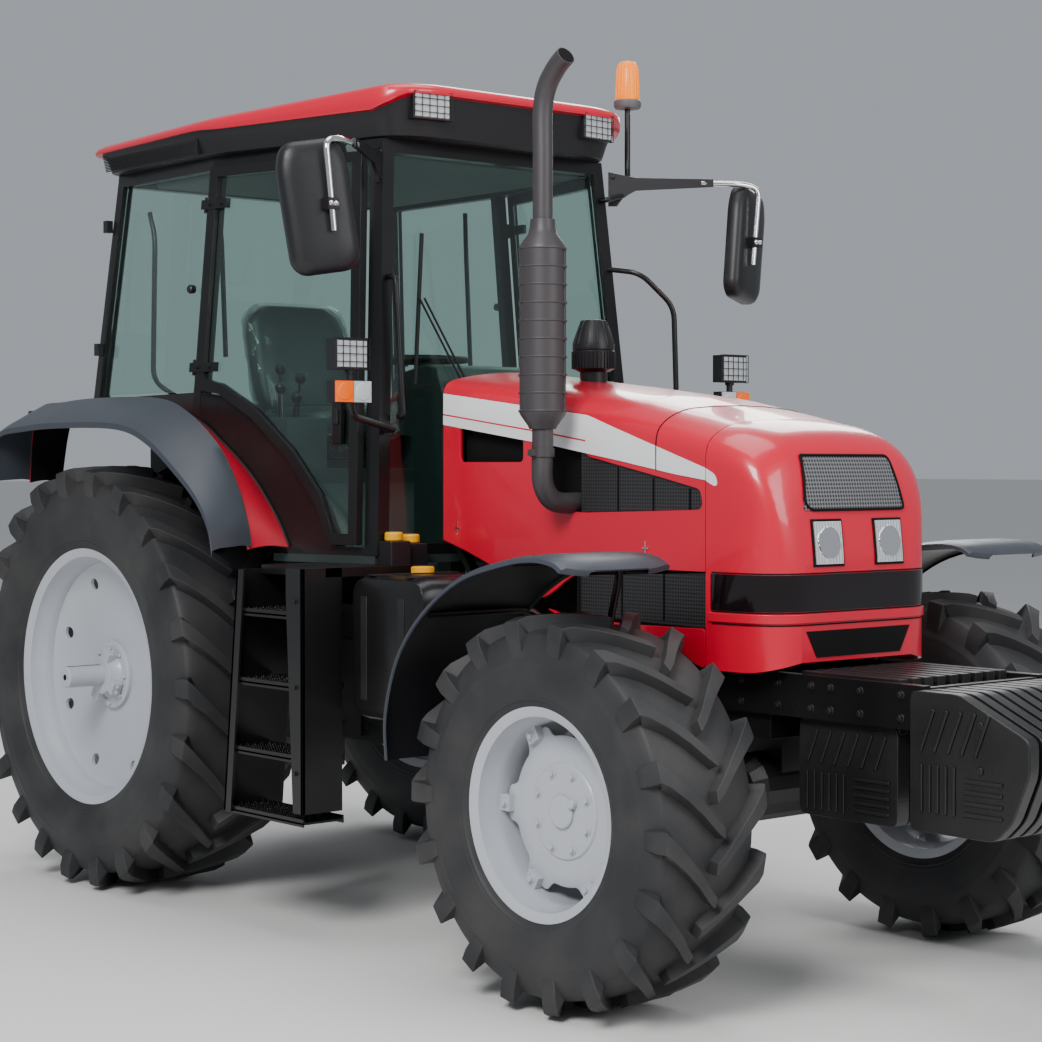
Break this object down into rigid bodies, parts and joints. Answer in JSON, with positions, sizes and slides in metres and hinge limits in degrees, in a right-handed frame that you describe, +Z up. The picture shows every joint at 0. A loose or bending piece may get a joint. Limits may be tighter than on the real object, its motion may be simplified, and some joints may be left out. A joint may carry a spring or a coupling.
{
  "type": "farm tractor",
  "caption": "Farm tractor with an enclosed cab, driven front axle, hanging front ballast, opening hood and doors, and a rear three-point linkage.",
  "frame": {"origin": "on the ground, below the centre of the bounding box", "axes": "+X forward, +Y to the tractor's left, +Z up"},
  "size_m": [5.2, 2.33, 3.285],
  "materials": {
    "tyre_rubber": "matte",
    "rim_paint": "satin",
    "red_paint": "gloss",
    "dark_plastic": "matte",
    "tinted_glass": "clear tint",
    "seat_vinyl": "satin",
    "black_paint": "satin",
    "cast_iron": "satin black paint"
  },
  "bodies": {
    "chassis": {"ballast_front": "cast_iron", "ballast_rear": "cast_iron", "beacon": "dark_plastic", "cab_floor": "black_paint", "cab_frame": "black_paint", "drawbar": "black_paint", "engine_block": "cast_iron", "exhaust": "black_paint", "front_axle": "cast_iron", "front_frame": "black_paint", "fuel_tank": "dark_plastic", "gearbox": "cast_iron", "hood_frame": "black_paint", "lamp_bracket_left": "dark_plastic", "lamp_bracket_right": "dark_plastic", "left_tank": "dark_plastic", "mirror_left": "dark_plastic", "mirror_right": "dark_plastic", "quarter_window_left": "tinted_glass", "quarter_window_right": "tinted_glass", "rear_axle": "cast_iron", "rear_fender_left": "red_paint", "rear_fender_right": "red_paint", "rear_window": "tinted_glass", "roof_base": "dark_plastic", "roof_cap": "red_paint", "seat": "seat_vinyl", "side_panel_left": "red_paint", "side_panel_right": "red_paint", "steering_column": "dark_plastic", "steps_left": "black_paint", "steps_right": "black_paint", "top_link": "black_paint", "windscreen": "tinted_glass"},
    "rear_wheel_right": {"tyre_rear_right": "tyre_rubber", "rim_rear_right": "rim_paint"},
    "front_wheel_right": {"tyre_front_right": "tyre_rubber", "rim_front_right": "rim_paint"},
    "knuckle_right": {"knuckle_right": "cast_iron", "front_fender_right": "dark_plastic"},
    "door_right": {"door_right": "black_paint", "door_glass_right": "tinted_glass"},
    "lower_link_right": {"lower_link_right": "black_paint"},
    "lift_rod_right": {"lift_rod_right": "black_paint"},
    "rear_wheel_left": {"tyre_rear_left": "tyre_rubber", "rim_rear_left": "rim_paint"},
    "front_wheel_left": {"tyre_front_left": "tyre_rubber", "rim_front_left": "rim_paint"},
    "knuckle_left": {"knuckle_left": "cast_iron", "front_fender_left": "dark_plastic"},
    "door_left": {"door_left": "black_paint", "door_glass_left": "tinted_glass"},
    "lower_link_left": {"lower_link_left": "black_paint"},
    "lift_rod_left": {"lift_rod_left": "black_paint"},
    "tie_rod": {"tie_rod": "black_paint"},
    "lift_arms": {"lift_arms": "black_paint"},
    "hood": {"hood_top": "red_paint", "nose": "red_paint", "air_precleaner": "dark_plastic"}
  },
  "joints": [
    {"name": "rear_wheel_right_roll", "type": "hinge", "parent": "chassis", "child": "rear_wheel_right", "pos_m": [-1.45, -0.834, 0.836], "axis": [0, 1, 0], "continuous": true},
    {"name": "rear_wheel_left_roll", "type": "hinge", "parent": "chassis", "child": "rear_wheel_left", "pos_m": [-1.45, 0.834, 0.836], "axis": [0, 1, 0], "continuous": true},
    {"name": "steering_right", "type": "hinge", "parent": "chassis", "child": "knuckle_right", "pos_m": [1.31, -0.72, 0.612], "axis": [0, 0, 1], "range_deg": [-35, 35]},
    {"name": "steering_left", "type": "hinge", "parent": "chassis", "child": "knuckle_left", "pos_m": [1.31, 0.72, 0.612], "axis": [0, 0, 1], "range_deg": [-35, 35]},
    {"name": "front_wheel_right_roll", "type": "hinge", "parent": "knuckle_right", "child": "front_wheel_right", "pos_m": [1.31, -0.881, 0.612], "axis": [0, 1, 0], "continuous": true},
    {"name": "front_wheel_left_roll", "type": "hinge", "parent": "knuckle_left", "child": "front_wheel_left", "pos_m": [1.31, 0.881, 0.612], "axis": [0, 1, 0], "continuous": true},
    {"name": "tie_rod_pivot", "type": "hinge", "parent": "knuckle_right", "child": "tie_rod", "pos_m": [1.12, -0.72, 0.52], "axis": [0, 0, 1], "range_deg": [-35, 35]},
    {"name": "door_right_hinge", "type": "hinge", "parent": "chassis", "child": "door_right", "pos_m": [-1.0055, -0.7827, 2.384], "axis": [0, -0.0896, -0.996], "range_deg": [0, 80]},
    {"name": "door_left_hinge", "type": "hinge", "parent": "chassis", "child": "door_left", "pos_m": [-1.0055, 0.7827, 2.384], "axis": [0, -0.0896, 0.996], "range_deg": [0, 80]},
    {"name": "hood_hinge", "type": "hinge", "parent": "chassis", "child": "hood", "pos_m": [0.02, 0, 1.96], "axis": [0, -1, 0], "range_deg": [0, 40]},
    {"name": "linkage_lift", "type": "hinge", "parent": "chassis", "child": "lift_arms", "pos_m": [-1.65, 0, 1.1], "axis": [0, 1, 0], "range_deg": [-12, 38]},
    {"name": "lower_link_right_pivot", "type": "hinge", "parent": "chassis", "child": "lower_link_right", "pos_m": [-1.5, -0.3, 0.57], "axis": [0, 1, 0], "range_deg": [-12, 38]},
    {"name": "lift_rod_right_pivot", "type": "hinge", "parent": "lift_arms", "child": "lift_rod_right", "pos_m": [-1.99, -0.335, 1.07], "axis": [0, 1, 0], "range_deg": [-38, 12]},
    {"name": "lower_link_left_pivot", "type": "hinge", "parent": "chassis", "child": "lower_link_left", "pos_m": [-1.5, 0.3, 0.57], "axis": [0, 1, 0], "range_deg": [-12, 38]},
    {"name": "lift_rod_left_pivot", "type": "hinge", "parent": "lift_arms", "child": "lift_rod_left", "pos_m": [-1.99, 0.335, 1.07], "axis": [0, 1, 0], "range_deg": [-38, 12]}
  ],
  "couplings": [
    {"joint": "steering_left", "follows": "steering_right", "ratio": 1},
    {"joint": "tie_rod_pivot", "follows": "steering_right", "ratio": -1},
    {"joint": "lower_link_right_pivot", "follows": "linkage_lift", "ratio": 1},
    {"joint": "lift_rod_right_pivot", "follows": "linkage_lift", "ratio": -1},
    {"joint": "lower_link_left_pivot", "follows": "linkage_lift", "ratio": 1},
    {"joint": "lift_rod_left_pivot", "follows": "linkage_lift", "ratio": -1}
  ]
}
